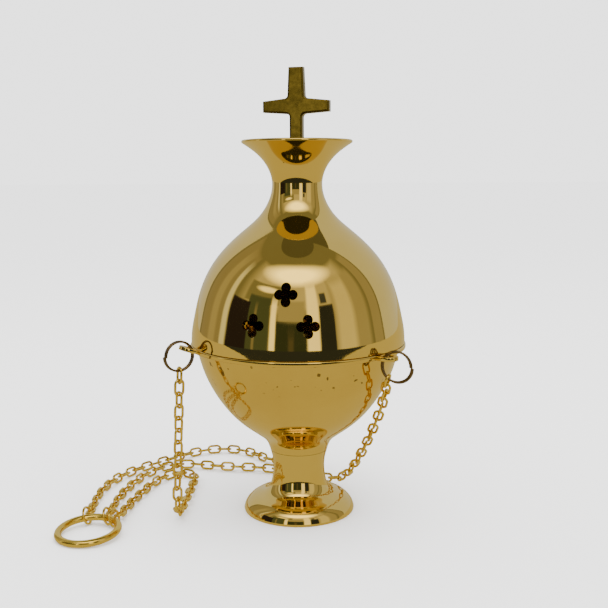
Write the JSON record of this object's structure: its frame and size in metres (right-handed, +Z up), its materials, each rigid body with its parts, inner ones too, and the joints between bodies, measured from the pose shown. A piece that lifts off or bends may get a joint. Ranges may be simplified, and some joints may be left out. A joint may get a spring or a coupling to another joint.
{
  "type": "thurible",
  "caption": "Hanging church censer: round bowl on a turned foot, loose pierced dome lid with chimney and cross, chains from the bowl's lugs to a hand ring.",
  "frame": {"origin": "centre of the foot's resting face", "axes": "+Z up along the bowl's axis; the front, -Y, faces away from the single back lug"},
  "size_m": [0.1279, 0.1139, 0.1674],
  "materials": {
    "polished_brass": "polished",
    "cup_brass": "satin",
    "aged_brass": "satin",
    "chain_brass": "polished",
    "dark_steel": "satin"
  },
  "bodies": {
    "root": {"foot": "polished_brass", "bowl": "polished_brass", "foot_screw": "aged_brass", "foot_washer": "aged_brass", "foot_nut": "aged_brass", "chain_left": "chain_brass", "chain_right": "chain_brass", "chain_back": "chain_brass", "end_loop_left": "chain_brass", "end_loop_right": "chain_brass", "end_loop_back": "chain_brass"},
    "lid": {"lid_dome": "polished_brass", "lid_chimney": "polished_brass", "lid_locating_ring": "polished_brass", "smoke_plate": "aged_brass", "cross": "aged_brass", "cross_nut": "aged_brass"},
    "charcoal_cup": {"charcoal_cup": "cup_brass"},
    "split_ring_left": {"split_ring_left": "dark_steel"},
    "split_ring_right": {"split_ring_right": "dark_steel"},
    "split_ring_back": {"split_ring_back": "dark_steel"},
    "hand_ring": {"hand_ring": "chain_brass"}
  },
  "joints": [
    {"name": "lid_lift", "type": "slide", "parent": "root", "child": "lid", "axis": [0, 0, 1], "range_m": [0, 0.09]},
    {"name": "cup_lift", "type": "slide", "parent": "root", "child": "charcoal_cup", "axis": [0, 0, 1], "range_m": [0, 0.03]},
    {"name": "split_ring_left_swing", "type": "hinge", "parent": "root", "child": "split_ring_left", "pos_m": [-0.03801, -0.02021, 0.06609], "axis": [-0.5878, 0.809, 0], "range_deg": [0, 60], "deforming": ["chain_left"]},
    {"name": "split_ring_right_swing", "type": "hinge", "parent": "root", "child": "split_ring_right", "pos_m": [0.03309, -0.02777, 0.0651], "axis": [-0.3665, -0.9304, 0], "range_deg": [0, 60], "deforming": ["chain_right"]},
    {"name": "split_ring_back_swing", "type": "hinge", "parent": "root", "child": "split_ring_back", "pos_m": [0, 0.0432, 0.0651], "axis": [0.9994, -0.0349, 0], "range_deg": [0, 60], "deforming": ["chain_back"]},
    {"name": "hand_ring_flip", "type": "hinge", "parent": "root", "child": "hand_ring", "pos_m": [-0.07226, -0.02251, 0.00291], "axis": [-0.9847, 0.1745, 0], "range_deg": [0, 50]}
  ]
}
